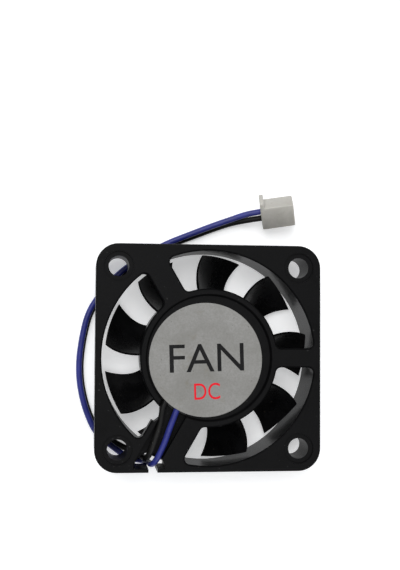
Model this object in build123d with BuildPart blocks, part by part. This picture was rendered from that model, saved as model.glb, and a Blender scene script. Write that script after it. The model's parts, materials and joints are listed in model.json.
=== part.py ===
from build123d import *

import math
import os

# A 40 mm square axial cooling fan, 10 mm deep, for the hotend of a 3D printer. It stands on its
# intake side. The origin is the centre of that side, +Z runs along the rotor's axis to the
# label side, and millimetres are used throughout.

# Driving dimensions
FRAME_SIDE = 40.0
FRAME_DEPTH = 10.0
FRAME_CORNER_R = 4.0
DUCT_R = 18.9
DUCT_CHAMFER = 0.4
EDGE_ROUND = 0.35
WINDOW_CHAMFER = 0.25
HOLE_PITCH = 32.0
HOLE_R = 1.8
HOLE_RING_R = 2.65
HOLE_RING_DEPTH = 0.3

# Underside: a round collar to stand on, and raised ears at the corners for the leads to pass under
COLLAR_R = 20.3
EAR_BOTTOM_Z = 2.6

# Motor base and struts, as (angle, lowest offset, highest offset) across each strut
BASE_R = 12.2
BASE_FLOOR_Z = 8.4
BASE_RECESS_R = 10.9
BASE_RECESS_Z = 9.4
BASE_SKIRT_R = 11.0
STRUT_BOTTOM_Z = 7.5
STRUTS = [(0, -1.7, 1.7), (120, -2.15, 2.15), (240, -3.3, 5.0)]
WINDOW_FILLET = 1.0

# Lead channel in the third strut, as offsets across the strut, and the floor's height
CHANNEL_ANGLE = 240
CHANNEL_LOW = -2.35
CHANNEL_HIGH = 1.75
CHANNEL_FLOOR_Z = 8.1
# The channel's mouth over the board, wider on the black lead's side
MOUTH_LOW = -3.7
MOUTH_INNER_R = 7.4
MOUTH_OUTER_R = 13.7
CHANNEL_START_R = 10.0
# A bite out of the strut where the black lead swings past its side
BITE = [(-8.6, -7.5), (-8.6, -10.35), (-9.6, -11.1), (-10.2, -10.75), (-11.5, -9.0), (-11.5, -7.5)]
# Opening down through the frame at the channel's end, and the slot in the outer wall
OUTLET_CENTRE = (-10.3, -19.35)
OUTLET_R = 2.65
OUTLET_LEFT_X = -13.2
SLOT_X = (-10.55, -8.95)
SLOT_DEPTH = 3.0

# Rotor
HUB_R = 12.0
HUB_WALL = 0.8
HUB_BOTTOM_Z = 0.5
HUB_TOP_Z = 7.1
HUB_FLOOR = 0.9
BOSS_R = 2.2
BOSS_TOP_Z = 1.95
BLADE_COUNT = 9
BLADE_FIRST_ANGLE = 3.5
BLADE_TIP_R = 18.3
YOKE_WALL = 0.6
YOKE_TOP_Z = 7.0
MAGNET_INNER_R = 9.3
MAGNET_TOP_Z = 6.9
YOKE_OPENING_R = 5.0
SMALL_CHAMFER = 0.15
SHAFT_R = 1.0
SHAFT_BOTTOM_Z = 0.9
HUB_ROUND = 0.5

# Stator
TUBE_R = 3.4
TUBE_BORE_R = 2.5
TUBE_BOTTOM_Z = 2.15
TUBE_TOP_Z = 9.0
SLEEVE_BORE_R = 1.03
CORE_BOTTOM_Z = 3.6
CORE_TOP_Z = 5.6
CORE_RING_R = 5.0
POLE_SHOE_R = 8.9
POLE_SHOE_INNER_R = 7.8
POLE_WIDTH = 2.4
POLE_ANGLES = [0, 90, 180, 270]
BOARD_BOTTOM_Z = 7.45
BOARD_TOP_Z = 8.1
BOARD_R = 10.95

# Sticker
LABEL_R = 10.05
LABEL_THICK = 0.1
LABEL_CENTRE = (-0.57, -0.38)

# Leads and connector
LEAD_OD = 1.1
PLUG_WIDTH = 4.9
PLUG_THICK = 3.1
PLUG_LENGTH = 6.1
PLUG_FLANGE = 0.8
PLUG_FLANGE_LIP = 1.15
PLUG_CORNER_R = 0.3
PIN_PITCH = 1.5
PLUG_YAW = 8.0
PLUG_PITCH = -11.0
PLUG_ROLL = 43.0
PLUG_X = 10.45
PLUG_Y = 26.3
FLOOR_GAP = 0.02

os.makedirs("parts", exist_ok=True)


def save(builder, name):
    """Label a finished piece and write its STEP file."""
    builder.part.label = name
    export_step(builder.part, "parts/" + name + ".step")


def polar(radius, angle):
    """A point of the plan at a radius and an angle in degrees."""
    turn = math.radians(angle)
    return (radius * math.cos(turn), radius * math.sin(turn))


# ---------------------------------------------------------------- frame
with BuildPart() as frame:
    with BuildSketch():
        RectangleRounded(FRAME_SIDE, FRAME_SIDE, FRAME_CORNER_R)
    extrude(amount=FRAME_DEPTH)
    # Duct below the struts
    with BuildSketch():
        Circle(DUCT_R)
    extrude(amount=STRUT_BOTTOM_Z, mode=Mode.SUBTRACT)
    # Windows between the struts
    with BuildSketch(Plane.XY.offset(STRUT_BOTTOM_Z)) as windows:
        Circle(DUCT_R)
        Circle(BASE_R, mode=Mode.SUBTRACT)
        for angle, low, high in STRUTS:
            with Locations(Rot(0, 0, angle) * Pos(FRAME_SIDE / 4, (low + high) / 2)):
                Rectangle(FRAME_SIDE / 2, high - low, mode=Mode.SUBTRACT)
        fillet(windows.vertices(), WINDOW_FILLET)
    extrude(amount=FRAME_DEPTH - STRUT_BOTTOM_Z, mode=Mode.SUBTRACT)
    # Soft outer edge and window edges on the label side
    top_edges = frame.edges().filter_by_position(Axis.Z, FRAME_DEPTH, FRAME_DEPTH)
    outline = top_edges.filter_by(lambda e: max(abs(e.center().X), abs(e.center().Y)) > DUCT_R)
    corners = top_edges.filter_by(GeomType.CIRCLE).filter_by(lambda e: abs(e.radius - FRAME_CORNER_R) < 0.01)
    fillet(outline + [e for e in corners if e not in outline], EDGE_ROUND)
    top_edges = frame.edges().filter_by_position(Axis.Z, FRAME_DEPTH, FRAME_DEPTH)
    chamfer(top_edges.filter_by(lambda e: e.center().X ** 2 + e.center().Y ** 2 < DUCT_R ** 2 + 1),
            WINDOW_CHAMFER)
    intake_edges = frame.edges().filter_by(GeomType.CIRCLE).filter_by_position(Axis.Z, 0, 0)
    chamfer(intake_edges.filter_by(lambda e: abs(e.radius - DUCT_R) < 0.01), DUCT_CHAMFER)
    # Corner holes with a shallow ring
    with Locations((0, 0, FRAME_DEPTH)):
        with GridLocations(HOLE_PITCH, HOLE_PITCH, 2, 2):
            CounterBoreHole(HOLE_R, HOLE_RING_R, HOLE_RING_DEPTH, depth=FRAME_DEPTH)
    # Raised ears round the standing collar
    with BuildSketch():
        Rectangle(FRAME_SIDE + 2, FRAME_SIDE + 2)
        Circle(COLLAR_R, mode=Mode.SUBTRACT)
    extrude(amount=EAR_BOTTOM_Z, mode=Mode.SUBTRACT)
    # Motor base: board space below, label recess with a bevelled rim above
    with BuildSketch(Plane.XY.offset(STRUT_BOTTOM_Z)):
        Circle(BASE_SKIRT_R)
    extrude(amount=BASE_FLOOR_Z - STRUT_BOTTOM_Z, mode=Mode.SUBTRACT)
    with BuildSketch(Plane.XY.offset(BASE_RECESS_Z)):
        Circle(BASE_RECESS_R)
    extrude(amount=FRAME_DEPTH - BASE_RECESS_Z, taper=-30, mode=Mode.SUBTRACT)
    with BuildSketch(Plane.XY.offset(BASE_FLOOR_Z)):
        Circle(TUBE_R)
    extrude(amount=TUBE_TOP_Z - BASE_FLOOR_Z, mode=Mode.SUBTRACT)
    # Mouth of the lead channel, through the base floor to the board
    with BuildSketch(Plane.XY.offset(STRUT_BOTTOM_Z)):
        Circle(BASE_SKIRT_R)
        Circle(MOUTH_INNER_R, mode=Mode.SUBTRACT)
        with Locations(Rot(0, 0, CHANNEL_ANGLE) * Pos(BASE_SKIRT_R, (MOUTH_LOW + CHANNEL_HIGH) / 2)):
            Rectangle(BASE_SKIRT_R, CHANNEL_HIGH - MOUTH_LOW, mode=Mode.INTERSECT)
    extrude(amount=FRAME_DEPTH - STRUT_BOTTOM_Z, mode=Mode.SUBTRACT)
    # Channel along the third strut to the outer wall
    with BuildSketch(Plane.XY.offset(CHANNEL_FLOOR_Z)):
        with Locations(Rot(0, 0, CHANNEL_ANGLE)):
            with Locations((CHANNEL_START_R, CHANNEL_LOW)):
                Rectangle(FRAME_SIDE / 2, CHANNEL_HIGH - CHANNEL_LOW, align=Align.MIN)
            with Locations((CHANNEL_START_R, MOUTH_LOW)):
                Rectangle(MOUTH_OUTER_R - CHANNEL_START_R, CHANNEL_HIGH - MOUTH_LOW, align=Align.MIN)
        with Locations((OUTLET_LEFT_X, OUTLET_CENTRE[1])):
            Rectangle(FRAME_SIDE, FRAME_SIDE, align=Align.MIN, mode=Mode.INTERSECT)
    extrude(amount=FRAME_DEPTH - CHANNEL_FLOOR_Z, mode=Mode.SUBTRACT)
    with BuildSketch(Plane.XY.offset(STRUT_BOTTOM_Z)):
        Polygon(BITE, align=None)
        Circle(BASE_R, mode=Mode.SUBTRACT)
    extrude(amount=FRAME_DEPTH - STRUT_BOTTOM_Z, mode=Mode.SUBTRACT)
    # Outlet down through the frame, and the slot through the outer wall
    with BuildSketch(Plane.XY.offset(EAR_BOTTOM_Z)):
        with Locations(OUTLET_CENTRE):
            Circle(OUTLET_R)
            Rectangle(OUTLET_R * 2, OUTLET_R, align=(Align.CENTER, Align.MIN), mode=Mode.INTERSECT)
        with Locations(((SLOT_X[0] + SLOT_X[1]) / 2, OUTLET_CENTRE[1])):
            Rectangle(SLOT_X[1] - SLOT_X[0], SLOT_DEPTH)
    extrude(amount=FRAME_DEPTH, mode=Mode.SUBTRACT)
save(frame, "frame")

# ---------------------------------------------------------------- impeller
# Blade sections as (radius, leading offset, trailing offset, leading height, trailing height, thickness):
# offsets run anticlockwise seen from the label side, and the rotor turns clockwise.
BLADE_SECTIONS = [
    (11.3, -2.3, 2.85, 1.3, 6.9, 0.9),
    (13.5, -2.3, 3.45, 1.25, 6.95, 0.8),
    (15.9, -3.3, 3.55, 1.2, 7.0, 0.7),
    (18.6, -5.4, 2.65, 1.1, 7.05, 0.6),
]
BLADE_SAG = 0.75


def blade_face(lead, trail, low, high, thick):
    """A thin section, bowed towards its trailing edge: x is anticlockwise and y is up."""
    chord = Vector(trail - lead, high - low)
    along = chord.normalized()
    across = Vector(along.Y, -along.X)
    start = Vector(lead, low)
    middle = start + chord * 0.5 + across * BLADE_SAG
    end = Vector(trail, high)
    half = across * (thick / 2)
    tip_half = half * 0.6
    with BuildSketch(mode=Mode.PRIVATE) as section:
        with BuildLine():
            ThreePointArc(start + tip_half, middle + half, end + tip_half)
            Line(end + tip_half, end - tip_half)
            ThreePointArc(end - tip_half, middle - half, start - tip_half)
            Line(start - tip_half, start + tip_half)
        make_face()
    return section.sketch


with BuildPart() as impeller:
    with BuildSketch(Plane.XY.offset(HUB_BOTTOM_Z)):
        Circle(HUB_R)
    extrude(amount=HUB_TOP_Z - HUB_BOTTOM_Z)
    fillet(impeller.edges().sort_by(Axis.Z)[0], HUB_ROUND)
    with BuildSketch(Plane.XY.offset(HUB_BOTTOM_Z + HUB_FLOOR)):
        Circle(HUB_R - HUB_WALL)
    extrude(amount=HUB_TOP_Z, mode=Mode.SUBTRACT)
    with BuildSketch(Plane.XY.offset(HUB_BOTTOM_Z)):
        Circle(BOSS_R)
    extrude(amount=BOSS_TOP_Z - HUB_BOTTOM_Z)
    with BuildSketch(Plane.XY.offset(SHAFT_BOTTOM_Z)):
        Circle(SHAFT_R)
    extrude(amount=HUB_TOP_Z, mode=Mode.SUBTRACT)
    with BuildPart(mode=Mode.PRIVATE) as blade:
        for radius, lead, trail, low, high, thick in BLADE_SECTIONS:
            radial = Plane(origin=(radius, 0, 0), x_dir=(0, 1, 0), z_dir=(1, 0, 0))
            with BuildSketch(radial):
                add(blade_face(lead, trail, low, high, thick))
        loft()
        with BuildSketch():
            Circle(BLADE_TIP_R)
            Circle(HUB_R - HUB_WALL / 2, mode=Mode.SUBTRACT)
        extrude(amount=FRAME_DEPTH, mode=Mode.INTERSECT)
    for number in range(BLADE_COUNT):
        add(blade.part.rotate(Axis.Z, BLADE_FIRST_ANGLE + number * 360 / BLADE_COUNT))
save(impeller, "impeller")

# ---------------------------------------------------------------- rotor inside the hub
SHAFT_TOP_Z = 8.6
SHAFT_ROUND = 0.3
CLIP_Z = 8.05
CLIP_THICK = 0.2
CLIP_PLAY = 0.02
CLIP_R = 1.9
CLIP_GROOVE_R = 0.75
CLIP_SLOT = 0.5

with BuildPart() as rotor_shaft:
    with BuildSketch(Plane.XY.offset(SHAFT_BOTTOM_Z)):
        Circle(SHAFT_R)
    extrude(amount=SHAFT_TOP_Z - SHAFT_BOTTOM_Z)
    fillet(rotor_shaft.edges().sort_by(Axis.Z)[-1], SHAFT_ROUND)
    with BuildSketch(Plane.XY.offset(CLIP_Z - CLIP_PLAY)):
        Circle(SHAFT_R)
        Circle(CLIP_GROOVE_R, mode=Mode.SUBTRACT)
    extrude(amount=CLIP_THICK + CLIP_PLAY * 2, mode=Mode.SUBTRACT)
save(rotor_shaft, "rotor_shaft")

with BuildPart() as retaining_clip:
    with BuildSketch(Plane.XY.offset(CLIP_Z)):
        Circle(CLIP_R)
        Circle(CLIP_GROOVE_R, mode=Mode.SUBTRACT)
        with Locations((CLIP_GROOVE_R * 2, 0)):
            Rectangle(SHAFT_R * 2, CLIP_SLOT, mode=Mode.SUBTRACT)
    extrude(amount=CLIP_THICK)
save(retaining_clip, "retaining_clip")

YOKE_R = HUB_R - HUB_WALL
YOKE_BOTTOM_Z = HUB_BOTTOM_Z + HUB_FLOOR
with BuildPart() as rotor_yoke:
    with BuildSketch(Plane.XY.offset(YOKE_BOTTOM_Z)):
        Circle(YOKE_R)
    extrude(amount=YOKE_TOP_Z - YOKE_BOTTOM_Z)
    with BuildSketch(Plane.XY.offset(YOKE_BOTTOM_Z + YOKE_WALL)):
        Circle(YOKE_R - YOKE_WALL)
    extrude(amount=YOKE_TOP_Z, mode=Mode.SUBTRACT)
    with BuildSketch(Plane.XY.offset(YOKE_BOTTOM_Z)):
        Circle(YOKE_OPENING_R)
    extrude(amount=YOKE_TOP_Z, mode=Mode.SUBTRACT)
save(rotor_yoke, "rotor_yoke")

with BuildPart() as rotor_magnet:
    with BuildSketch(Plane.XY.offset(YOKE_BOTTOM_Z + YOKE_WALL)):
        Circle(YOKE_R - YOKE_WALL)
        Circle(MAGNET_INNER_R, mode=Mode.SUBTRACT)
    extrude(amount=MAGNET_TOP_Z - YOKE_BOTTOM_Z - YOKE_WALL)
    chamfer(rotor_magnet.edges().filter_by(GeomType.CIRCLE).group_by(Axis.Z)[-1], SMALL_CHAMFER)
save(rotor_magnet, "rotor_magnet")

# ---------------------------------------------------------------- bearing
with BuildPart() as bearing_tube:
    with BuildSketch(Plane.XY.offset(TUBE_BOTTOM_Z)):
        Circle(TUBE_R)
        Circle(TUBE_BORE_R, mode=Mode.SUBTRACT)
    extrude(amount=TUBE_TOP_Z - TUBE_BOTTOM_Z)
    chamfer(bearing_tube.edges().group_by(Axis.Z)[0].sort_by(SortBy.RADIUS)[-1], SMALL_CHAMFER)
save(bearing_tube, "bearing_tube")

SLEEVE_BOTTOM_Z = 2.45
SEAL_BORE_R = 1.1
SLEEVE_TOP_Z = 7.9
PAD_GAP = 0.02
with BuildPart() as bearing_sleeve:
    with BuildSketch(Plane.XY.offset(SLEEVE_BOTTOM_Z)):
        Circle(TUBE_BORE_R)
        Circle(SLEEVE_BORE_R, mode=Mode.SUBTRACT)
    extrude(amount=SLEEVE_TOP_Z - SLEEVE_BOTTOM_Z)
    chamfer(bearing_sleeve.edges().filter_by(GeomType.CIRCLE).sort_by(SortBy.RADIUS)[:2], SMALL_CHAMFER)
save(bearing_sleeve, "bearing_sleeve")

with BuildPart() as oil_seal:
    with BuildSketch(Plane.XY.offset(TUBE_BOTTOM_Z)):
        Circle(TUBE_BORE_R)
        Circle(SEAL_BORE_R, mode=Mode.SUBTRACT)
    extrude(amount=SLEEVE_BOTTOM_Z - TUBE_BOTTOM_Z)
save(oil_seal, "oil_seal")

with BuildPart() as thrust_pad:
    with BuildSketch(Plane.XY.offset(SHAFT_TOP_Z + PAD_GAP)):
        Circle(TUBE_BORE_R)
    extrude(amount=TUBE_TOP_Z - SHAFT_TOP_Z - PAD_GAP)
save(thrust_pad, "thrust_pad")

# ---------------------------------------------------------------- stator
SHOE_HALF_ANGLE = 34
BOBBIN_THICK = 0.35
COIL_INNER_R = 5.5
COIL_OUTER_R = 7.1
COIL_THICK = 0.85
BOBBIN_COLLAR_R = COIL_INNER_R - 0.05
BOBBIN_FLANGE_R = 7.75
BOBBIN_FLANGE_THICK = 0.6
BOBBIN_FLANGE_W = 5.0
BOBBIN_HEIGHT = 1.35
COIL_INNER_W = POLE_WIDTH / 2 + 0.3
COIL_INNER_LOW = CORE_BOTTOM_Z - BOBBIN_THICK
COIL_INNER_HIGH = CORE_TOP_Z + BOBBIN_THICK
PIN_R = 0.18
PIN_BOTTOM_Z = CORE_TOP_Z + 0.6
PIN_PROUD = 0.15
PIN_RADIUS = BOBBIN_FLANGE_R - BOBBIN_FLANGE_THICK / 2
PIN_ANGLES = [0, 90, 180]


def pole_shape(width, shoe_inner, shoe_outer, spread):
    """Arms and shoes of the four poles, added to the sketch that is open."""
    for angle in POLE_ANGLES:
        with Locations(Rot(0, 0, angle) * Pos(shoe_outer / 2, 0)):
            Rectangle(shoe_outer, width)
    with BuildSketch(mode=Mode.PRIVATE) as shoes:
        Circle(shoe_outer)
        Circle(shoe_inner, mode=Mode.SUBTRACT)
        with BuildLine():
            reach = shoe_outer * 2
            Polyline((0, 0), (reach, -reach * math.tan(math.radians(spread))),
                     (reach, reach * math.tan(math.radians(spread))), close=True)
        make_face(mode=Mode.INTERSECT)
    for angle in POLE_ANGLES:
        add(shoes.sketch.rotate(Axis.Z, angle))


with BuildPart() as stator_core:
    with BuildSketch(Plane.XY.offset(CORE_BOTTOM_Z)):
        Circle(CORE_RING_R)
        pole_shape(POLE_WIDTH, POLE_SHOE_INNER_R, POLE_SHOE_R, SHOE_HALF_ANGLE)
        Circle(POLE_SHOE_R, mode=Mode.INTERSECT)
        Circle(TUBE_R, mode=Mode.SUBTRACT)
    extrude(amount=CORE_TOP_Z - CORE_BOTTOM_Z)
save(stator_core, "stator_core")


def bobbin(face_z, direction):
    """Half of the insulator: a plate on the core with a collar inside and flanges outside."""
    with BuildPart(mode=Mode.PRIVATE) as half:
        with BuildSketch(Plane.XY.offset(face_z)):
            Circle(BOBBIN_COLLAR_R)
            for angle in POLE_ANGLES:
                with Locations(Rot(0, 0, angle) * Pos(BOBBIN_FLANGE_R / 2, 0)):
                    Rectangle(BOBBIN_FLANGE_R, COIL_INNER_W * 2)
            Circle(TUBE_R, mode=Mode.SUBTRACT)
        extrude(amount=direction * BOBBIN_THICK)
        with BuildSketch(Plane.XY.offset(face_z)):
            Circle(BOBBIN_COLLAR_R)
            Circle(TUBE_R, mode=Mode.SUBTRACT)
            for angle in POLE_ANGLES:
                with Locations(Rot(0, 0, angle) * Pos(PIN_RADIUS, 0)):
                    Rectangle(BOBBIN_FLANGE_THICK, BOBBIN_FLANGE_W)
        extrude(amount=direction * BOBBIN_HEIGHT)
    return half.part


with BuildPart() as bobbin_upper:
    add(bobbin(CORE_TOP_Z, 1))
    with BuildSketch(Plane.XY.offset(PIN_BOTTOM_Z)):
        for angle in PIN_ANGLES:
            with Locations(polar(PIN_RADIUS, angle)):
                Circle(PIN_R)
    extrude(amount=BOBBIN_HEIGHT, mode=Mode.SUBTRACT)
save(bobbin_upper, "bobbin_upper")

with BuildPart() as bobbin_lower:
    add(bobbin(CORE_BOTTOM_Z, -1))
save(bobbin_lower, "bobbin_lower")

with BuildPart() as winding_pins:
    with BuildSketch(Plane.XY.offset(PIN_BOTTOM_Z)):
        for angle in PIN_ANGLES:
            with Locations(polar(PIN_RADIUS, angle)):
                Circle(PIN_R)
    extrude(amount=BOARD_TOP_Z + PIN_PROUD - PIN_BOTTOM_Z)
save(winding_pins, "winding_pins")

# Each coil is a wound ring round its pole arm and the insulator's plates
for number, angle in enumerate(POLE_ANGLES):
    arm = Plane(origin=(*polar(COIL_INNER_R, angle), (COIL_INNER_LOW + COIL_INNER_HIGH) / 2),
                x_dir=(-math.sin(math.radians(angle)), math.cos(math.radians(angle)), 0),
                z_dir=(*polar(1, angle), 0))
    with BuildPart() as coil:
        with BuildSketch(arm):
            RectangleRounded((COIL_INNER_W + COIL_THICK) * 2,
                             COIL_INNER_HIGH - COIL_INNER_LOW + COIL_THICK * 2, COIL_THICK)
            Rectangle(COIL_INNER_W * 2, COIL_INNER_HIGH - COIL_INNER_LOW, mode=Mode.SUBTRACT)
        extrude(amount=COIL_OUTER_R - COIL_INNER_R)
    save(coil, "coil_" + str(number + 1))

# ---------------------------------------------------------------- circuit board
CHIP_ANGLE = 45
CHIP_RADIUS = 7.0
CAPACITOR_ANGLE = 135
RESISTOR_ANGLE = 315
DIODE_ANGLE = 225
SMALL_PART_RADIUS = 7.2

with BuildPart() as circuit_board:
    with BuildSketch(Plane.XY.offset(BOARD_BOTTOM_Z)):
        Circle(BOARD_R)
        Circle(TUBE_R, mode=Mode.SUBTRACT)
        for angle in PIN_ANGLES:
            with Locations(polar(PIN_RADIUS, angle)):
                Circle(PIN_R, mode=Mode.SUBTRACT)
    extrude(amount=BOARD_TOP_Z - BOARD_BOTTOM_Z)
save(circuit_board, "circuit_board")


def surface_part(name, angle, radius, length, width, height, edge):
    """A small component soldered to the board's lower side."""
    with BuildPart() as piece:
        with BuildSketch(Plane.XY.offset(BOARD_BOTTOM_Z - height)):
            with Locations(Rot(0, 0, angle) * Pos(radius, 0)):
                Rectangle(width, length)
        extrude(amount=height)
        chamfer(piece.edges().group_by(Axis.Z)[0], edge)
    save(piece, name)


surface_part("driver_chip", CHIP_ANGLE, CHIP_RADIUS, 2.9, 1.6, 1.1, 0.15)
surface_part("filter_capacitor", CAPACITOR_ANGLE, SMALL_PART_RADIUS, 2.0, 1.2, 0.8, 0.08)
surface_part("polarity_diode", DIODE_ANGLE, SMALL_PART_RADIUS, 2.4, 1.3, 0.9, 0.12)
surface_part("base_resistor", RESISTOR_ANGLE, SMALL_PART_RADIUS, 1.6, 0.8, 0.5, 0.05)

with BuildPart() as label:
    with BuildSketch(Plane.XY.offset(BASE_RECESS_Z)):
        with Locations(LABEL_CENTRE):
            Circle(LABEL_R)
    extrude(amount=LABEL_THICK)
save(label, "label")

# ---------------------------------------------------------------- connector
# The plug's plane has x along it towards its mating end, y across its row of pins, z through it.
roll = math.radians(PLUG_ROLL)
pitch = math.radians(PLUG_PITCH)
plug_z = (PLUG_WIDTH / 2 * math.sin(roll) + PLUG_THICK / 2 * math.cos(roll)) * math.cos(pitch)
plug_z += max(PLUG_LENGTH * math.sin(pitch), 0) + FLOOR_GAP
plug_turn = Rot(0, 0, PLUG_YAW) * Rot(0, PLUG_PITCH, 0) * Rot(PLUG_ROLL, 0, 0)
plug = Plane(Pos(PLUG_X, PLUG_Y, plug_z) * plug_turn)
plug_section = Plane(origin=plug.origin, x_dir=plug.y_dir, z_dir=plug.x_dir)
CAVITY = 1.3
CAVITY_START = 0.6
CONTACT_START = 1.6
CONTACT_END = 5.6
NOSE_START = 5.7
WIRE_HOLE_R = 0.62
MATING_HOLE = 0.8
CONTACT_SIDE = CAVITY - 0.1
CRIMP_LENGTH = 1.35
CRIMP_BORE_R = 0.35
WINDOW_X = 3.9
WINDOW_LENGTH = 1.5
WINDOW_WIDTH = 1.0

with BuildPart() as connector_housing:
    with BuildSketch(plug_section):
        RectangleRounded(PLUG_WIDTH, PLUG_THICK, PLUG_CORNER_R)
    extrude(amount=PLUG_LENGTH)
    with BuildSketch(plug_section):
        with Locations((PLUG_FLANGE_LIP / 2, 0)):
            RectangleRounded(PLUG_WIDTH + PLUG_FLANGE_LIP, PLUG_THICK, PLUG_CORNER_R)
    extrude(amount=PLUG_FLANGE)
    with BuildSketch(plug_section):
        with GridLocations(PIN_PITCH, 0, 2, 1):
            Circle(WIRE_HOLE_R)
    extrude(amount=CONTACT_START, mode=Mode.SUBTRACT)
    with BuildSketch(plug_section.offset(CAVITY_START)):
        with GridLocations(PIN_PITCH, 0, 2, 1):
            Rectangle(CAVITY, CAVITY)
    extrude(amount=NOSE_START - CAVITY_START, mode=Mode.SUBTRACT)
    with BuildSketch(plug_section.offset(CAVITY_START)):
        with GridLocations(PIN_PITCH, 0, 2, 1):
            Rectangle(MATING_HOLE, MATING_HOLE)
    extrude(amount=PLUG_LENGTH, mode=Mode.SUBTRACT)
    # Windows on the lower broad face, where the contacts' tongues latch
    with BuildSketch(plug.offset(-PLUG_THICK)):
        with Locations((WINDOW_X, 0)):
            with GridLocations(0, PIN_PITCH, 1, 2):
                Rectangle(WINDOW_LENGTH, WINDOW_WIDTH)
    extrude(amount=PLUG_THICK, mode=Mode.SUBTRACT)
save(connector_housing, "connector_housing")

for name, side in (("contact_blue", 1), ("contact_black", -1)):
    with BuildPart() as contact:
        with BuildSketch(plug_section.offset(CONTACT_START)):
            with Locations((side * PIN_PITCH / 2, 0)):
                Rectangle(CONTACT_SIDE, CONTACT_SIDE)
                Circle(CRIMP_BORE_R, mode=Mode.SUBTRACT)
        extrude(amount=CRIMP_LENGTH)
        with BuildSketch(plug_section.offset(CONTACT_START + CRIMP_LENGTH)):
            with Locations((side * PIN_PITCH / 2, 0)):
                Rectangle(CONTACT_SIDE, CONTACT_SIDE)
                Rectangle(MATING_HOLE, MATING_HOLE, mode=Mode.SUBTRACT)
        extrude(amount=CONTACT_END - CONTACT_START - CRIMP_LENGTH)
    save(contact, name)

# ---------------------------------------------------------------- leads
# Each route runs from its solder joint along the channel, down the kidney opening, under the
# corner's ear, round the outside to the next corner and on to the connector. The blue lead
# lies on the black one.
PLUG_RUN_IN = 1.0
blue_in = plug.from_local_coords((-PLUG_RUN_IN, PIN_PITCH / 2, 0))
blue_end = plug.from_local_coords((CONTACT_START, PIN_PITCH / 2, 0))
black_in = plug.from_local_coords((-PLUG_RUN_IN, -PIN_PITCH / 2, 0))
black_end = plug.from_local_coords((CONTACT_START, -PIN_PITCH / 2, 0))

BLUE_ROUTE = [
    (-4.9, -7.2, 8.75), (-5.65, -9.4, 8.75), (-6.75, -12.2, 8.75), (-7.75, -15.2, 8.75),
    (-8.95, -17.75, 8.75), (-9.9, -19.0, 7.7), (-10.2, -18.9, 3.3), (-11.3, -18.9, 1.75),
    (-13.8, -18.5, 1.6), (-16.9, -16.15, 1.64), (-19.6, -14.0, 1.64), (-21.4, -10.2, 1.64),
    (-22.6, -5.7, 1.64), (-22.9, -1.2, 1.64), (-22.3, 3.6, 1.64), (-21.3, 7.9, 1.64),
    (-19.2, 11.2, 1.64), (-16.0, 15.0, 1.64), (-11.9, 18.0, 1.64), (-7.2, 20.7, 1.64),
    (-2.6, 22.55, 1.6), (1.9, 24.35, 1.6), (5.2, 25.5, 1.9), (7.3, 26.25, 2.52),
]
BLACK_ROUTE = [
    (-6.6, -6.0, 8.75), (-8.0, -8.1, 8.75), (-8.35, -11.0, 8.75), (-9.15, -13.9, 8.75),
    (-10.25, -16.9, 8.75), (-10.95, -17.85, 7.4), (-11.35, -17.9, 3.1), (-12.4, -17.5, 1.15),
    (-14.4, -16.75, 0.57), (-17.2, -15.15, 0.56), (-19.3, -13.8, 0.56), (-21.1, -10.1, 0.56),
    (-22.3, -5.65, 0.56), (-22.6, -1.2, 0.56), (-22.0, 3.5, 0.56), (-21.0, 7.75, 0.56),
    (-18.95, 11.0, 0.56), (-15.8, 14.75, 0.56), (-11.75, 17.7, 0.56), (-7.05, 20.35, 0.56),
    (-2.45, 22.05, 0.56), (2.1, 23.85, 0.56), (5.3, 24.9, 0.8), (7.6, 25.3, 1.52),
]


def route_radii(points):
    """The largest arc that each corner of a route leaves room for."""
    radii = []
    for before, corner, after in zip(points, points[1:], points[2:]):
        run_in = corner - before
        run_out = after - corner
        turn = math.radians(run_in.get_angle(run_out))
        radii.append(0.45 * min(run_in.length, run_out.length) / math.tan(turn / 2))
    return radii


def lead(name, route, entry, end):
    """A round lead swept along its route."""
    points = [Vector(*p) for p in route] + [entry, end]
    radii = route_radii(points)
    print(name, "radii", [round(r, 1) for r in radii])
    with BuildPart() as tube:
        with BuildLine() as path:
            FilletPolyline(*points, radius=radii)
        with BuildSketch(Plane(origin=points[0], z_dir=points[1] - points[0])):
            Circle(LEAD_OD / 2)
        sweep()
    section = math.pi * LEAD_OD ** 2 / 4
    length = sum(e.length for e in path.edges())
    print(name, "length", round(length, 1), "volume ratio", round(tube.part.volume / section / length, 5))
    save(tube, name)


lead("lead_blue", BLUE_ROUTE, blue_in, blue_end)
lead("lead_black", BLACK_ROUTE, black_in, black_end)

# ---------------------------------------------------------------- solder
SOLDER_R = 0.6
SOLDER_HEIGHT = 0.55
SOLDER_NECK_R = 0.5
SOLDER_NECK = 0.7
PIN_SOLDER_R = 0.55
PIN_SOLDER_HEIGHT = 0.2
with BuildPart() as solder_joints:
    for route in (BLUE_ROUTE, BLACK_ROUTE):
        start = Vector(*route[0])
        back = (start - Vector(*route[1])).normalized()
        with BuildSketch(Plane(origin=start, z_dir=back)):
            Circle(SOLDER_NECK_R)
        extrude(amount=SOLDER_NECK)
        with BuildSketch(Plane.XY.offset(BOARD_TOP_Z)):
            with Locations(start + back * SOLDER_NECK - Vector(0, 0, start.Z)):
                Circle(SOLDER_R)
        extrude(amount=SOLDER_HEIGHT, taper=12)
    with BuildSketch(Plane.XY.offset(BOARD_TOP_Z)):
        for angle in PIN_ANGLES:
            with Locations(polar(PIN_RADIUS, angle)):
                Circle(PIN_SOLDER_R)
    extrude(amount=PIN_SOLDER_HEIGHT, taper=30)
    with BuildSketch(Plane.XY.offset(BOARD_TOP_Z)):
        for angle in PIN_ANGLES:
            with Locations(polar(PIN_RADIUS, angle)):
                Circle(PIN_R)
    extrude(amount=PIN_PROUD, mode=Mode.SUBTRACT)
save(solder_joints, "solder_joints")
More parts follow.
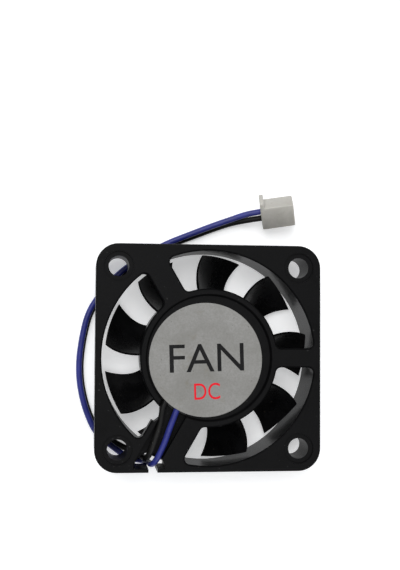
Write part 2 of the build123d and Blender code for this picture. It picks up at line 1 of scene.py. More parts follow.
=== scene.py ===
# %% [markdown]
# # A small cooling fan, dressed for a close look
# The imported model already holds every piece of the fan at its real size. This lesson gives each
# of them its finish. It models again the pieces whose look a plain solid can't give: the two leads,
# the connector and the sticker, and it adds the print on the sticker.

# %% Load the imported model
import json
import math

import bpy
from mathutils import Matrix, Vector


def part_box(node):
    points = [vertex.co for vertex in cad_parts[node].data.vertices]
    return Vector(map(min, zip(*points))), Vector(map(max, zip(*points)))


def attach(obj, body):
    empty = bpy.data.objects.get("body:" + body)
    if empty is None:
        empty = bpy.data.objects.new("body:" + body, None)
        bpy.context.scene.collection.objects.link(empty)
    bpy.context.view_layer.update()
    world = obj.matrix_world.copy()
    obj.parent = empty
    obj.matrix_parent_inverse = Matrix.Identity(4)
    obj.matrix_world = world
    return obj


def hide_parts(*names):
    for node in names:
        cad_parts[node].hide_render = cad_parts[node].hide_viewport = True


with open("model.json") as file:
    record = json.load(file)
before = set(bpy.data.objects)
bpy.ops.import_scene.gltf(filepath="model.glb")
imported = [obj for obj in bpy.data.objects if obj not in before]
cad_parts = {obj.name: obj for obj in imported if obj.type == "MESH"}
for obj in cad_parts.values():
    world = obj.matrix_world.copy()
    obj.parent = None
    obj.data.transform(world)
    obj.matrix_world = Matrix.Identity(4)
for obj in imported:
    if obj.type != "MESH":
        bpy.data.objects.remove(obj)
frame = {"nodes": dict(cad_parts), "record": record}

MM = 0.001
SMOOTH_ANGLE = math.radians(35)
EDGE_ANGLE = math.radians(40)
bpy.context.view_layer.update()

# %% [markdown]
# An operator works on everything that is selected, and the model arrives selected. So the scene
# is deselected before each new piece, and each finished piece gets its place baked into its mesh.

# %% Helpers for selecting and finishing
def only(*objects):
    """Select these objects and nothing else; the first one is active."""
    bpy.ops.object.select_all(action="DESELECT")
    for obj in objects:
        obj.select_set(True)
    bpy.context.view_layer.objects.active = objects[0]


def named(name):
    """The active object, under a name of its own."""
    obj = bpy.context.object
    obj.name = name
    obj.data.name = name
    return obj


def bake_place(obj, matrix=Matrix.Identity(4)):
    """Move the mesh itself, so that the object stays at the origin."""
    only(obj)
    obj.matrix_world = matrix @ obj.matrix_world
    bpy.ops.object.transform_apply(location=True, rotation=True, scale=True)


def apply_modifiers(obj):
    only(obj)
    for modifier in list(obj.modifiers):
        bpy.ops.object.modifier_apply(modifier=modifier.name)


# %% [markdown]
# ## Camera and light
# The fan lies on its intake side and is seen from almost straight above, a little to the left.
# The picture is portrait, so the lens's 36 mm belong to its long side.

# %% Camera
CAMERA_PLACE = Vector((-21.6, 5.3, 175.6)) * MM
CAMERA_TURN = [math.radians(angle) for angle in (2.53, -6.85, 0.35)]
CAMERA_LENS = 59.84
SENSOR_WIDTH = 36
NEAREST = 0.01

bpy.ops.object.select_all(action="DESELECT")
bpy.ops.object.camera_add(location=CAMERA_PLACE, rotation=CAMERA_TURN)
camera = named("camera")
camera.data.lens = CAMERA_LENS
camera.data.sensor_width = SENSOR_WIDTH
camera.data.clip_start = NEAREST
bpy.context.scene.camera = camera
print("camera height in mm", round(camera.location.z / MM, 1))

# %% [markdown]
# Black plastic shows only what it reflects, so the light comes in evenly from all round, with a
# large soft box high up behind the fan and a weaker one in front of it. The paper on the table glows
# a little, so that no shadow on it turns dark.

# %% Soft boxes
DOME_RADIUS = 0.4
BOX_SIZE = 0.30


def soft_box(name, azimuth, from_zenith, power):
    """A square light on a dome round the fan, turned towards its middle."""
    turn = Matrix.Rotation(math.radians(azimuth), 4, "Z")
    turn = turn @ Matrix.Rotation(math.radians(from_zenith), 4, "Y")
    place = turn @ Vector((0, 0, DOME_RADIUS))
    bpy.ops.object.light_add(type="AREA", location=place, rotation=turn.to_euler())
    light = named(name)
    light.data.shape = "SQUARE"
    light.data.size = BOX_SIZE
    light.data.energy = power
    print(name, "at", [round(x, 2) for x in place])


soft_box("key_light", 115, 30, 1.05)
soft_box("fill_light", -75, 38, 0.55)

# %% [markdown]
# The room itself is a plain grey dome, brightest overhead. Its strength follows the direction's height,
# so upright walls, which reflect the low part of the room, stay darker than the faces that look up.

# %% Room and paper
LOW_SKY, HIGH_SKY = 0.35, 0.95
LOW_SKY_STRENGTH, HIGH_SKY_STRENGTH = 0.32, 0.5

world = bpy.data.worlds.new("studio")
world.use_nodes = True
sky = world.node_tree
direction = sky.nodes.new("ShaderNodeTexCoord")
height = sky.nodes.new("ShaderNodeSeparateXYZ")
ramp = sky.nodes.new("ShaderNodeMapRange")
ramp.inputs["From Min"].default_value = LOW_SKY
ramp.inputs["From Max"].default_value = HIGH_SKY
ramp.inputs["To Min"].default_value = LOW_SKY_STRENGTH
ramp.inputs["To Max"].default_value = HIGH_SKY_STRENGTH
sky.links.new(direction.outputs["Generated"], height.inputs["Vector"])
sky.links.new(height.outputs["Z"], ramp.inputs["Value"])
sky.links.new(ramp.outputs["Result"], sky.nodes["Background"].inputs["Strength"])
sky.nodes["Background"].inputs["Color"].default_value = (0.97, 0.98, 1.0, 1)
bpy.context.scene.world = world
bpy.context.scene.view_settings.view_transform = "Standard"

FLOOR_SIZE = 3.0
FLOOR_DROP = 0.02 * MM
PAPER_GLOW = 0.46
bpy.ops.mesh.primitive_plane_add(size=FLOOR_SIZE, location=(0, 0, -FLOOR_DROP))
floor = named("floor")
bake_place(floor)
print("paper", FLOOR_SIZE, "m wide")

# %% [markdown]
# ## The two leads
# A lead is a fixed length of limp PVC. Each one is a NURBS curve whose control points are
# the corners of its route, so it bends smoothly past them. Blue lies on black all the way round.

# %% Routes
LEAD_OD = 1.1
LEAD_SEGMENTS = 8
LEAD_ROUNDNESS = 6
PLUG_LENGTH, PLUG_WIDTH, PLUG_THICK = 6.1, 4.9, 3.1
PLUG_YAW, PLUG_PITCH, PLUG_ROLL = (math.radians(a) for a in (8, -11, 43))
PLUG_RUN_IN = 1.0
PLUG_X, PLUG_Y = 10.45, 26.3
FLOOR_GAP = 0.02
PIN_PITCH = 1.5
CONTACT_START = 1.6
plug_turn = Matrix.Rotation(PLUG_YAW, 4, "Z") @ Matrix.Rotation(PLUG_PITCH, 4, "Y")
plug_turn = plug_turn @ Matrix.Rotation(PLUG_ROLL, 4, "X")
plug_rise = PLUG_WIDTH / 2 * math.sin(PLUG_ROLL) + PLUG_THICK / 2 * math.cos(PLUG_ROLL)
plug_z = plug_rise * math.cos(PLUG_PITCH) + FLOOR_GAP
plug_place = Matrix.Translation((PLUG_X, PLUG_Y, plug_z)) @ plug_turn

blue_in, blue_end, black_in, black_end = (
    plug_place @ Vector((along, side * PIN_PITCH / 2, 0))
    for side in (1, -1) for along in (-PLUG_RUN_IN, CONTACT_START)
)
BLUE_ROUTE = [
    (-4.9, -7.2, 8.75), (-5.65, -9.4, 8.75), (-6.75, -12.2, 8.75), (-7.75, -15.2, 8.75),
    (-8.95, -17.75, 8.75), (-9.9, -19.0, 7.7), (-10.2, -18.9, 3.3), (-11.3, -18.9, 1.75),
    (-13.8, -18.5, 1.6), (-16.9, -16.15, 1.64), (-19.6, -14.0, 1.64), (-21.4, -10.2, 1.64),
    (-22.6, -5.7, 1.64), (-22.9, -1.2, 1.64), (-22.3, 3.6, 1.64), (-21.3, 7.9, 1.64),
    (-19.2, 11.2, 1.64), (-16.0, 15.0, 1.64), (-11.9, 18.0, 1.64), (-7.2, 20.7, 1.64),
    (-2.6, 22.55, 1.6), (1.9, 24.35, 1.6), (5.2, 25.5, 1.9), (7.3, 26.25, 2.52),
]
BLACK_ROUTE = [
    (-6.6, -6.0, 8.75), (-8.0, -8.1, 8.75), (-8.35, -11.0, 8.75), (-9.15, -13.9, 8.75),
    (-10.25, -16.9, 8.75), (-10.95, -17.85, 7.4), (-11.35, -17.9, 3.1), (-12.4, -17.5, 1.15),
    (-14.4, -16.75, 0.57), (-17.2, -15.15, 0.56), (-19.3, -13.8, 0.56), (-21.1, -10.1, 0.56),
    (-22.3, -5.65, 0.56), (-22.6, -1.2, 0.56), (-22.0, 3.5, 0.56), (-21.0, 7.75, 0.56),
    (-18.95, 11.0, 0.56), (-15.8, 14.75, 0.56), (-11.75, 17.7, 0.56), (-7.05, 20.35, 0.56),
    (-2.45, 22.05, 0.56), (2.1, 23.85, 0.56), (5.3, 24.9, 0.8), (7.6, 25.3, 1.52),
]
print("connector's wire end rises", round(plug_z, 2), "mm")

# %% [markdown]
# The curve's radius is given at each point, in metres, and its bevel depth is 1, so the measured box of
# the object is right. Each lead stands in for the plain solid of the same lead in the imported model.

# %% Lay both leads
def lay_lead(name, route):
    """A round lead on one smooth curve."""
    curve = bpy.data.curves.new(name, "CURVE")
    curve.dimensions = "3D"
    spline = curve.splines.new("NURBS")
    spline.points.add(len(route) - 1)
    for point, place in zip(spline.points, route):
        point.co = (*(c * MM for c in place), 1)
        point.radius = LEAD_OD / 2 * MM
    spline.order_u = 3
    spline.use_endpoint_u = True
    spline.resolution_u = LEAD_SEGMENTS
    curve.bevel_depth = 1.0
    curve.bevel_resolution = LEAD_ROUNDNESS
    curve.use_fill_caps = True
    obj = bpy.data.objects.new(name, curve)
    bpy.context.collection.objects.link(obj)
    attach(obj, "housing")
    return obj


blue = lay_lead("blue_lead", BLUE_ROUTE + [blue_in, blue_end])
black = lay_lead("black_lead", BLACK_ROUTE + [black_in, black_end])
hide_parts("lead_blue")
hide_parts("lead_black")
print("control points", len(BLUE_ROUTE) + 2, len(BLACK_ROUTE) + 2)

# %% [markdown]
# ## Finishes
# Three effects come back on most surfaces: the grain that a mould leaves in plastic, a drift
# of tone over the whole piece, and pale dust that settles in patches. One node group gives all
# three, and each material places it with values of its own.

# %% Node group helpers
def new_group(name, inputs, outputs):
    """An empty shader group with named sockets, and its two end nodes."""
    group = bpy.data.node_groups.new(name, "ShaderNodeTree")
    for label, kind, value in inputs:
        socket = group.interface.new_socket(name=label, in_out="INPUT", socket_type=kind)
        if value is not None:
            socket.default_value = value
    for label, kind in outputs:
        group.interface.new_socket(name=label, in_out="OUTPUT", socket_type=kind)
    return group, group.nodes.new("NodeGroupInput"), group.nodes.new("NodeGroupOutput")


def node(tree, kind, values=(), **settings):
    """A node with settings, and values for its input sockets by name."""
    made = tree.nodes.new(kind)
    for key, value in settings.items():
        setattr(made, key, value)
    for key, value in dict(values).items():
        made.inputs[key].default_value = value
    return made


def noise(tree, place, scale, detail=3.0, roughness=0.6, distortion=0.0):
    """Noise on an incoming position."""
    values = {"Detail": detail, "Roughness": roughness, "Distortion": distortion}
    made = node(tree, "ShaderNodeTexNoise", values)
    tree.links.new(place, made.inputs["Vector"])
    if isinstance(scale, (int, float)):
        made.inputs["Scale"].default_value = scale
    else:
        tree.links.new(scale, made.inputs["Scale"])
    return made.outputs["Fac"]


def spread(tree, value, low, high, to_low=0.0, to_high=1.0):
    """Stretch a band of a value over a new range, clamped."""
    values = {"From Min": low, "From Max": high, "To Min": to_low, "To Max": to_high}
    made = node(tree, "ShaderNodeMapRange", values)
    tree.links.new(value, made.inputs["Value"])
    return made.outputs["Result"]


def blend(tree, factor, first, second):
    """Mix two colours, each one a socket or a plain colour."""
    made = node(tree, "ShaderNodeMix", data_type="RGBA")
    tree.links.new(factor, made.inputs["Factor"])
    for socket, colour in ((made.inputs["A"], first), (made.inputs["B"], second)):
        if isinstance(colour, tuple):
            socket.default_value = (*colour, 1)
        else:
            tree.links.new(colour, socket)
    return made.outputs["Result"]


# %% [markdown]
# Grain is fine noise that only feeds the bump. Drift is slow noise that mixes a deep and a pale shade
# and varies the gloss. Dust is small specks, kept only where a slow noise makes a patch.

# %% The moulded-plastic group
moulded, group_in, group_out = new_group(
    "moulded_plastic",
    [("Position", "NodeSocketVector", None), ("Deep", "NodeSocketColor", (0.01, 0.01, 0.011, 1)),
     ("Pale", "NodeSocketColor", (0.02, 0.02, 0.022, 1)), ("Dust", "NodeSocketColor", (0.09, 0.09, 0.09, 1)),
     ("Grain Scale", "NodeSocketFloat", 6000.0), ("Dust Amount", "NodeSocketFloat", 0.3),
     ("Rough Low", "NodeSocketFloat", 0.4), ("Rough High", "NodeSocketFloat", 0.6)],
    [("Color", "NodeSocketColor"), ("Roughness", "NodeSocketFloat"), ("Height", "NodeSocketFloat")],
)
place = group_in.outputs["Position"]
grain = noise(moulded, place, group_in.outputs["Grain Scale"], detail=2.0)
drift = noise(moulded, place, 260.0, detail=4.0, distortion=0.4)
specks = spread(moulded, noise(moulded, place, 1900.0, detail=1.0), 0.70, 0.78)
patches = spread(moulded, noise(moulded, place, 120.0, detail=5.0), 0.45, 0.75)
tone = blend(moulded, spread(moulded, drift, 0.3, 0.7), group_in.outputs["Deep"], group_in.outputs["Pale"])
dust = node(moulded, "ShaderNodeMath", operation="MULTIPLY")
moulded.links.new(specks, dust.inputs[0])
moulded.links.new(patches, dust.inputs[1])
dust_amount = node(moulded, "ShaderNodeMath", operation="MULTIPLY")
moulded.links.new(dust.outputs[0], dust_amount.inputs[0])
moulded.links.new(group_in.outputs["Dust Amount"], dust_amount.inputs[1])
dusty = blend(moulded, dust_amount.outputs[0], tone, group_in.outputs["Dust"])
moulded.links.new(dusty, group_out.inputs["Color"])
rough = node(moulded, "ShaderNodeMapRange", {"From Min": 0.3, "From Max": 0.7})
moulded.links.new(drift, rough.inputs["Value"])
moulded.links.new(group_in.outputs["Rough Low"], rough.inputs["To Min"])
moulded.links.new(group_in.outputs["Rough High"], rough.inputs["To Max"])
moulded.links.new(rough.outputs["Result"], group_out.inputs["Roughness"])
moulded.links.new(grain, group_out.inputs["Height"])
print("group", moulded.name, "has", len(moulded.nodes), "nodes")


# %% [markdown]
# The frame and the impeller are both black moulded plastic. The frame's flat faces carry the mould's
# grain, and its upright walls are glossier. The impeller is smoother, with a little brown dust.

# %% Materials from the moulded-plastic group
def plain_material(name, **constants):
    """A Principled material with constants on the shader's own sockets."""
    material = bpy.data.materials.new(name)
    material.use_nodes = True
    shader = material.node_tree.nodes["Principled BSDF"]
    for key, value in constants.items():
        shader.inputs[key.replace("_", " ")].default_value = value
    return material, material.node_tree, shader


def moulded_material(name, values, grain_depth, **constants):
    """Plastic, metal or ceramic with mould grain, tone drift and dust."""
    material, tree, shader = plain_material(name, **constants)
    place = node(tree, "ShaderNodeTexCoord").outputs["Object"]
    skin = node(tree, "ShaderNodeGroup", node_tree=moulded)
    for key, value in values.items():
        skin.inputs[key].default_value = (*value, 1) if isinstance(value, tuple) else value
    tree.links.new(place, skin.inputs["Position"])
    bump = node(tree, "ShaderNodeBump", {"Strength": 1.0, "Distance": grain_depth * MM})
    tree.links.new(skin.outputs["Height"], bump.inputs["Height"])
    tree.links.new(skin.outputs["Color"], shader.inputs["Base Color"])
    tree.links.new(skin.outputs["Roughness"], shader.inputs["Roughness"])
    tree.links.new(bump.outputs["Normal"], shader.inputs["Normal"])
    return material


def shades(deep, pale, dust=(0.09, 0.09, 0.09), grain=6000.0, amount=0.3, low=0.4, high=0.6):
    return {"Deep": deep, "Pale": pale, "Dust": dust, "Grain Scale": grain, "Dust Amount": amount,
            "Rough Low": low, "Rough High": high}


def polish_walls(material, wall_roughness):
    """Upright faces slide along the mould's steel as it opens, so they come out glossier."""
    tree = material.node_tree
    shader = tree.nodes["Principled BSDF"]
    from_skin = shader.inputs["Roughness"].links[0].from_socket
    upward = node(tree, "ShaderNodeSeparateXYZ")
    tree.links.new(node(tree, "ShaderNodeTexCoord").outputs["Normal"], upward.inputs["Vector"])
    level = node(tree, "ShaderNodeMath", operation="ABSOLUTE")
    tree.links.new(upward.outputs["Z"], level.inputs[0])
    finish = node(tree, "ShaderNodeMix", {"A": wall_roughness})
    tree.links.new(spread(tree, level.outputs[0], 0.3, 0.8), finish.inputs["Factor"])
    tree.links.new(from_skin, finish.inputs["B"])
    tree.links.new(finish.outputs["Result"], shader.inputs["Roughness"])


WALL_ROUGHNESS = 0.36
frame_plastic = moulded_material(
    "frame_plastic",
    shades((0.0015, 0.0015, 0.0017), (0.0035, 0.0035, 0.0039), grain=3500.0, amount=0.7), 0.03,
    Specular_IOR_Level=0.09)
polish_walls(frame_plastic, WALL_ROUGHNESS)
impeller_plastic = moulded_material(
    "impeller_plastic",
    shades((0.0015, 0.0015, 0.0017), (0.003, 0.003, 0.0034), (0.10, 0.08, 0.06), amount=0.3,
           low=0.2, high=0.36),
    0.004, Specular_IOR_Level=0.2)
print("materials", frame_plastic.name, impeller_plastic.name)

# %% [markdown]
# PVC is soft and slightly shiny, so its grain is shallow and its gloss fairly even. Nylon lets some light
# in below its surface, which keeps its shaded side warm instead of grey.

# %% Lead insulation and the connector's nylon
blue_pvc = moulded_material(
    "lead_blue_pvc",
    shades((0.016, 0.021, 0.14), (0.030, 0.038, 0.25), (0.18, 0.20, 0.36), 4000.0, 0.4, 0.28, 0.4), 0.006,
    Specular_IOR_Level=0.35)
black_pvc = moulded_material(
    "lead_black_pvc",
    shades((0.006, 0.006, 0.006), (0.012, 0.0115, 0.011), (0.12, 0.12, 0.11), 4000.0, 0.4, 0.3, 0.45), 0.006,
    Specular_IOR_Level=0.15)
nylon = moulded_material(
    "nylon_white",
    shades((0.40, 0.385, 0.35), (0.52, 0.51, 0.475), (0.24, 0.20, 0.15), 5000.0, 0.5, 0.3, 0.45), 0.006,
    Subsurface_Weight=0.25, Subsurface_Radius=(0.0012, 0.0011, 0.0009), Subsurface_Scale=1.0,
    Specular_IOR_Level=0.35)
blue.data.materials.append(blue_pvc)
black.data.materials.append(black_pvc)
print("leads wear", blue_pvc.name, "and", black_pvc.name)

# %% [markdown]
# The motor's pieces are seen only when the fan is taken apart, but each still gets its own metal,
# ceramic or nylon. They differ in colour, gloss, grain depth and whether they are metal.

# %% Finishes of the inner pieces
INNER = {
    "contact_tin": (shades((0.42, 0.41, 0.38), (0.58, 0.57, 0.54), low=0.2, high=0.4), 0.003, 1.0),
    "shaft_steel": (shades((0.45, 0.46, 0.47), (0.6, 0.61, 0.62), low=0.15, high=0.3), 0.002, 1.0),
    "clip_nylon": (shades((0.6, 0.58, 0.54), (0.72, 0.71, 0.68)), 0.004, 0.0),
    "yoke_steel": (shades((0.30, 0.31, 0.32), (0.42, 0.43, 0.44), low=0.3, high=0.5), 0.004, 1.0),
    "magnet_ferrite": (shades((0.035, 0.032, 0.030), (0.06, 0.055, 0.05), low=0.55, high=0.75), 0.01, 0.0),
    "brass_tube": (shades((0.50, 0.34, 0.12), (0.65, 0.47, 0.2), low=0.2, high=0.35), 0.003, 1.0),
    "sleeve_bronze": (shades((0.30, 0.19, 0.09), (0.45, 0.30, 0.15), low=0.4, high=0.55), 0.006, 1.0),
    "seal_film": (shades((0.55, 0.55, 0.50), (0.68, 0.68, 0.64)), 0.003, 0.0),
    "pad_nylon": (shades((0.62, 0.60, 0.55), (0.74, 0.73, 0.69)), 0.003, 0.0),
    "lamination_steel": (shades((0.22, 0.23, 0.25), (0.34, 0.35, 0.37), low=0.35, high=0.5), 0.005, 1.0),
    "bobbin_nylon": (shades((0.42, 0.41, 0.36), (0.55, 0.54, 0.5)), 0.005, 0.0),
    "board_laminate": (shades((0.004, 0.0045, 0.004), (0.009, 0.010, 0.009), low=0.25, high=0.4),
                       0.006, 0.0),
    "component_black": (shades((0.015, 0.015, 0.016), (0.03, 0.03, 0.032)), 0.006, 0.0),
    "component_ceramic": (shades((0.30, 0.20, 0.11), (0.40, 0.28, 0.17)), 0.004, 0.0),
    "solder": (shades((0.50, 0.50, 0.50), (0.66, 0.66, 0.66), low=0.15, high=0.3), 0.006, 1.0),
}
finishes = {
    name: moulded_material(name, values, depth, Metallic=metallic)
    for name, (values, depth, metallic) in INNER.items()
}
finishes["frame_plastic"] = frame_plastic
finishes["impeller_plastic"] = impeller_plastic
finishes["nylon_white"] = nylon
finishes["lead_blue_pvc"] = blue_pvc
finishes["lead_black_pvc"] = black_pvc
print("finishes", len(finishes))

# %% [markdown]
# A coil is a stack of thin enamelled turns. Modelling each turn would cost far more faces than it is worth
# inside a motor, so a wave pattern draws the turns and a bump gives them their round backs. The same wave
# paints shade into the grooves between turns, so the colour there is darker than on their backs.

# %% Winding wire
copper, tree, shader = plain_material("copper_wire", Metallic=0.9)
finishes["copper_wire"] = copper
place = node(tree, "ShaderNodeTexCoord").outputs["Object"]
turns = node(tree, "ShaderNodeTexWave", {"Scale": 1200.0, "Distortion": 0.4, "Detail": 1.0},
             wave_type="BANDS", bands_direction="X")
tree.links.new(place, turns.inputs["Vector"])
bump = node(tree, "ShaderNodeBump", {"Strength": 0.8, "Distance": 0.04 * MM})
tree.links.new(turns.outputs["Fac"], bump.inputs["Height"])
tree.links.new(bump.outputs["Normal"], shader.inputs["Normal"])
# Painted shade: the wire's colour is darker where the wave is low, in the grooves between turns.
enamel_with_painted_groove_shade = blend(tree, turns.outputs["Fac"], (0.30, 0.09, 0.03), (0.66, 0.27, 0.11))
tree.links.new(enamel_with_painted_groove_shade, shader.inputs["Base Color"])
tree.links.new(spread(tree, noise(tree, place, 900.0), 0.3, 0.7, 0.18, 0.34), shader.inputs["Roughness"])
print("made", copper.name)

# %% [markdown]
# The paper is nearly white and dull, with faint fibres. Its glow is its own colour, so it stays neutral.

# %% Paper under the fan
paper, tree, shader = plain_material("table_paper", Emission_Strength=PAPER_GLOW)
place = node(tree, "ShaderNodeTexCoord").outputs["Object"]
fibres = noise(tree, place, 900.0, detail=4.0)
tone = blend(tree, spread(tree, fibres, 0.3, 0.7), (0.86, 0.87, 0.88), (0.90, 0.90, 0.90))
tree.links.new(tone, shader.inputs["Base Color"])
tree.links.new(tone, shader.inputs["Emission Color"])
tree.links.new(spread(tree, fibres, 0.3, 0.7, 0.75, 0.9), shader.inputs["Roughness"])
floor.data.materials.append(paper)
print("paper glows", PAPER_GLOW)

# %% [markdown]
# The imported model's record names a material slot for each piece, so one loop can dress them all. The
# plain sticker is left out, because a new sticker takes its place below.

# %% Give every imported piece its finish
slot_of = {entry["node"]: entry["material_slot"] for entry in frame["record"]["subparts"]}
dressed = 0
for name, obj in frame["nodes"].items():
    finish = finishes.get(slot_of[name])
    if finish is not None:
        obj.data.materials.clear()
        obj.data.materials.append(finish)
        dressed += 1
print("dressed", dressed, "of", len(frame["nodes"]), "packed pieces")

# %% [markdown]
# ## Connector
# The housing is one nylon moulding: a block with a lip along its wire end, a cavity for each contact
# and a window behind each latch. It is built along its own axes in millimetres, then set in place.

# %% Helpers for the connector
def plug_box(name, low, high):
    """A box between two corners, in the plug's own directions."""
    bpy.ops.object.select_all(action="DESELECT")
    bpy.ops.mesh.primitive_cube_add(size=1)
    box = named(name)
    box.scale = Vector(high) - Vector(low)
    box.location = (Vector(low) + Vector(high)) / 2
    bake_place(box)
    return box


def combine(target, tool, operation):
    """Join a tool to a target, or cut it out, and remove the tool."""
    boolean = target.modifiers.new("combine", "BOOLEAN")
    boolean.operation = operation
    boolean.object = tool
    apply_modifiers(target)
    only(tool)
    bpy.ops.object.delete()


def round_edges(obj, width, segments):
    """Round every sharp edge."""
    bevel = obj.modifiers.new("round", "BEVEL")
    bevel.width = width
    bevel.segments = segments
    bevel.limit_method = "ANGLE"
    bevel.angle_limit = EDGE_ANGLE
    apply_modifiers(obj)


# %% [markdown]
# The block and its lip are joined first and their edges rounded together, so that the inner corner
# between them is soft too, as it comes out of a mould. The holes are cut after that, and stay sharp.

# %% Block and lip
PLUG_FLANGE, PLUG_LIP = 0.8, 1.15
PLUG_ROUND = 0.28
ROUND_STEPS = 4
half_width, half_thick = PLUG_WIDTH / 2, PLUG_THICK / 2
plug = plug_box("plug_housing", (0, -half_width, -half_thick), (PLUG_LENGTH, half_width, half_thick))
lip = plug_box("plug_lip", (0, 0, -half_thick), (PLUG_FLANGE, half_width + PLUG_LIP, half_thick))
combine(plug, lip, "UNION")
round_edges(plug, PLUG_ROUND, ROUND_STEPS)
print("rounded block", len(plug.data.polygons), "faces")

# %% [markdown]
# Each contact sits in a square cavity. A lead comes in by a round hole at one end, a header's pin by
# a square hole at the other, and a window in the lower face lets the contact's latch spring out.

# %% Cavities, holes and windows
WIRE_HOLE_R, CAVITY, MATING_HOLE = 0.62, 1.3, 0.8
WIRE_HOLE_SIDES = 32
CAVITY_START, NOSE_START = 0.6, 5.7
WINDOW_X, WINDOW_LENGTH, WINDOW_WIDTH = 3.9, 1.5, 1.0
OVERSHOOT = 1
for side in (1, -1):
    pin_y = side * PIN_PITCH / 2
    bpy.ops.object.select_all(action="DESELECT")
    bpy.ops.mesh.primitive_cylinder_add(
        vertices=WIRE_HOLE_SIDES, radius=WIRE_HOLE_R, depth=CONTACT_START * 2,
        location=(0, pin_y, 0), rotation=(0, math.pi / 2, 0))
    wire_hole = named("wire_hole")
    bake_place(wire_hole)
    combine(plug, wire_hole, "DIFFERENCE")
    for name, start, end, size in (("cavity", CAVITY_START, NOSE_START, CAVITY),
                                   ("mating_hole", CAVITY_START, PLUG_LENGTH + OVERSHOOT, MATING_HOLE)):
        hole = plug_box(name, (start, pin_y - size / 2, -size / 2), (end, pin_y + size / 2, size / 2))
        combine(plug, hole, "DIFFERENCE")
    window = plug_box(
        "window", (WINDOW_X - WINDOW_LENGTH / 2, pin_y - WINDOW_WIDTH / 2, -half_thick - OVERSHOOT),
        (WINDOW_X + WINDOW_LENGTH / 2, pin_y + WINDOW_WIDTH / 2, 0))
    combine(plug, window, "DIFFERENCE")
print("with its holes", len(plug.data.polygons), "faces")

# %% [markdown]
# So far the connector lies along its own axes. One matrix scales it to metres, tilts it as it rests on
# its leads and moves it beside the fan, and is baked into the mesh.

# %% Set the connector in place
bake_place(plug, Matrix.Scale(MM, 4) @ plug_place)
bpy.ops.object.shade_smooth_by_angle(angle=SMOOTH_ANGLE)
plug.data.materials.append(nylon)
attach(plug, "housing")
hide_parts("connector_housing")
print("connector box in mm", [[round(c / MM, 1) for c in corner[:]] for corner in plug.bound_box][::6])

# %% [markdown]
# ## Sticker
# The sticker is a thin round film with a satin silver face. It starts as a flat disc, which is
# extruded to the film's thickness and inset twice, so that the bevel only rounds its rim.

# %% Sticker
FILM_SIDES = 160
RIM_INSET, FACE_INSET = 0.12, 0.4
RIM_ROUND = 0.04
label_low, label_high = (Vector(corner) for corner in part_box("label"))
label_centre = (label_low + label_high) / 2
label_radius = (label_high.x - label_low.x) / 2
label_thick = label_high.z - label_low.z
bpy.ops.object.select_all(action="DESELECT")
bpy.ops.mesh.primitive_circle_add(vertices=FILM_SIDES, radius=label_radius, fill_type="NGON",
                                  location=(label_centre.x, label_centre.y, label_low.z))
sticker = named("sticker")
bpy.ops.object.mode_set(mode="EDIT")
bpy.ops.mesh.select_all(action="SELECT")
bpy.ops.mesh.extrude_region_move(TRANSFORM_OT_translate={"value": (0, 0, label_thick)})
bpy.ops.mesh.inset(thickness=RIM_INSET * MM)
bpy.ops.mesh.inset(thickness=FACE_INSET * MM)
bpy.ops.mesh.select_all(action="SELECT")
bpy.ops.mesh.normals_make_consistent(inside=False)
bpy.ops.object.mode_set(mode="OBJECT")
bevel = sticker.modifiers.new("rim", "BEVEL")
bevel.width = RIM_ROUND * MM
bevel.segments = 2
bevel.angle_limit = EDGE_ANGLE
apply_modifiers(sticker)
bake_place(sticker)
bpy.ops.object.shade_smooth_by_angle(angle=SMOOTH_ANGLE)
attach(sticker, "housing")
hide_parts("label")
print("sticker radius in mm", round(label_radius / MM, 2))

# %% [markdown]
# Years of handling have left brown stains and small dark marks on the film. They are noise cut at a high
# value, over a silver that drifts slowly and has the fine grain of foil.

# %% Sticker film
film, tree, shader = plain_material("label_film", Specular_IOR_Level=0.3)
place = node(tree, "ShaderNodeTexCoord").outputs["Object"]
clouds = spread(tree, noise(tree, place, 130.0, detail=5.0, distortion=0.6), 0.3, 0.7)
stains = spread(tree, noise(tree, place, 210.0, detail=7.0, roughness=0.7, distortion=1.2), 0.56, 0.72)
marks = spread(tree, noise(tree, place, 1500.0, detail=2.0), 0.72, 0.76)
silver = blend(tree, clouds, (0.21, 0.208, 0.195), (0.28, 0.278, 0.27))
foil_grain = spread(tree, noise(tree, place, 3200.0, detail=2.0), 0.35, 0.65, 0.0, 0.5)
silver = blend(tree, foil_grain, silver, (0.18, 0.177, 0.165))
stained = blend(tree, spread(tree, stains, 0.0, 1.0, 0.0, 0.55), silver, (0.16, 0.14, 0.095))
tree.links.new(blend(tree, spread(tree, marks, 0.0, 1.0, 0.0, 0.6), stained, (0.05, 0.045, 0.035)),
               shader.inputs["Base Color"])
tree.links.new(spread(tree, clouds, 0.0, 1.0, 0.32, 0.48), shader.inputs["Roughness"])
ripple = node(tree, "ShaderNodeBump", {"Strength": 0.5, "Distance": 0.02 * MM})
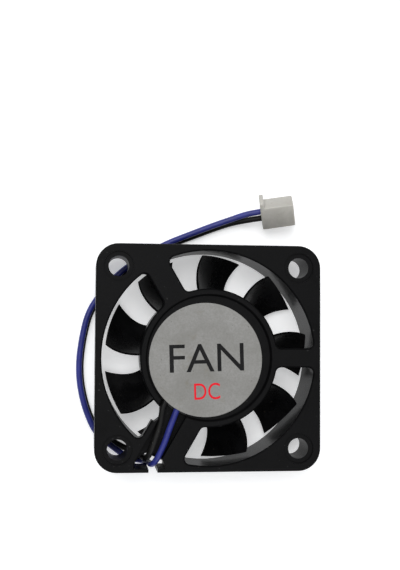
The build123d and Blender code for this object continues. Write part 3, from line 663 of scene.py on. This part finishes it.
tree.links.new(noise(tree, place, 700.0), ripple.inputs["Height"])
tree.links.new(ripple.outputs["Normal"], shader.inputs["Normal"])
sticker.data.materials.append(film)
print("made", film.name)


# %% [markdown]
# The print is generic: what the thing is, and its kind of current. Each word is text made into a mesh,
# stretched to its place on the sticker. It is turned a little, as on a sticker stuck on not quite straight.

# %% Print on the sticker
def ink(name, colour):
    material, tree, shader = plain_material(name, Specular_IOR_Level=0.15)
    place = node(tree, "ShaderNodeTexCoord").outputs["Object"]
    worn = spread(tree, noise(tree, place, 2500.0, detail=3.0), 0.35, 0.7)
    faded = tuple(0.8 * c + 0.004 for c in colour)
    tree.links.new(blend(tree, worn, colour, faded), shader.inputs["Base Color"])
    tree.links.new(spread(tree, worn, 0.0, 1.0, 0.35, 0.5), shader.inputs["Roughness"])
    return material


PRINT_THICK = 0.01
PRINT_TURN = math.radians(1.8)


def printed_word(name, body, centre, width, height, material):
    """A flat word, fitted to a width and a height, on top of the sticker."""
    bpy.ops.object.select_all(action="DESELECT")
    bpy.ops.object.text_add()
    word = bpy.context.object
    word.data.body = body
    word.data.extrude = PRINT_THICK / 2 * MM
    word.data.resolution_u = 6
    bpy.ops.object.convert(target="MESH")
    word = named(name)
    xs, ys = zip(*((v.co.x, v.co.y) for v in word.data.vertices))
    fit = Matrix.Diagonal((width * MM / (max(xs) - min(xs)), height * MM / (max(ys) - min(ys)), 1, 1))
    shift = Matrix.Translation((-(max(xs) + min(xs)) / 2, -(max(ys) + min(ys)) / 2, 0))
    place = Matrix.Translation((centre[0] * MM, centre[1] * MM, label_high.z + PRINT_THICK / 2 * MM))
    bake_place(word, place @ Matrix.Rotation(PRINT_TURN, 4, "Z") @ fit @ shift)
    word.data.materials.append(material)
    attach(word, "housing")
    return word


printed_word("print_word", "FAN", (-0.4, 0.0), 13.2, 4.9, ink("ink_black", (0.004, 0.004, 0.0045)))
printed_word("print_type", "DC", (-0.3, -5.9), 4.6, 2.9, ink("ink_red", (0.75, 0.006, 0.02)))
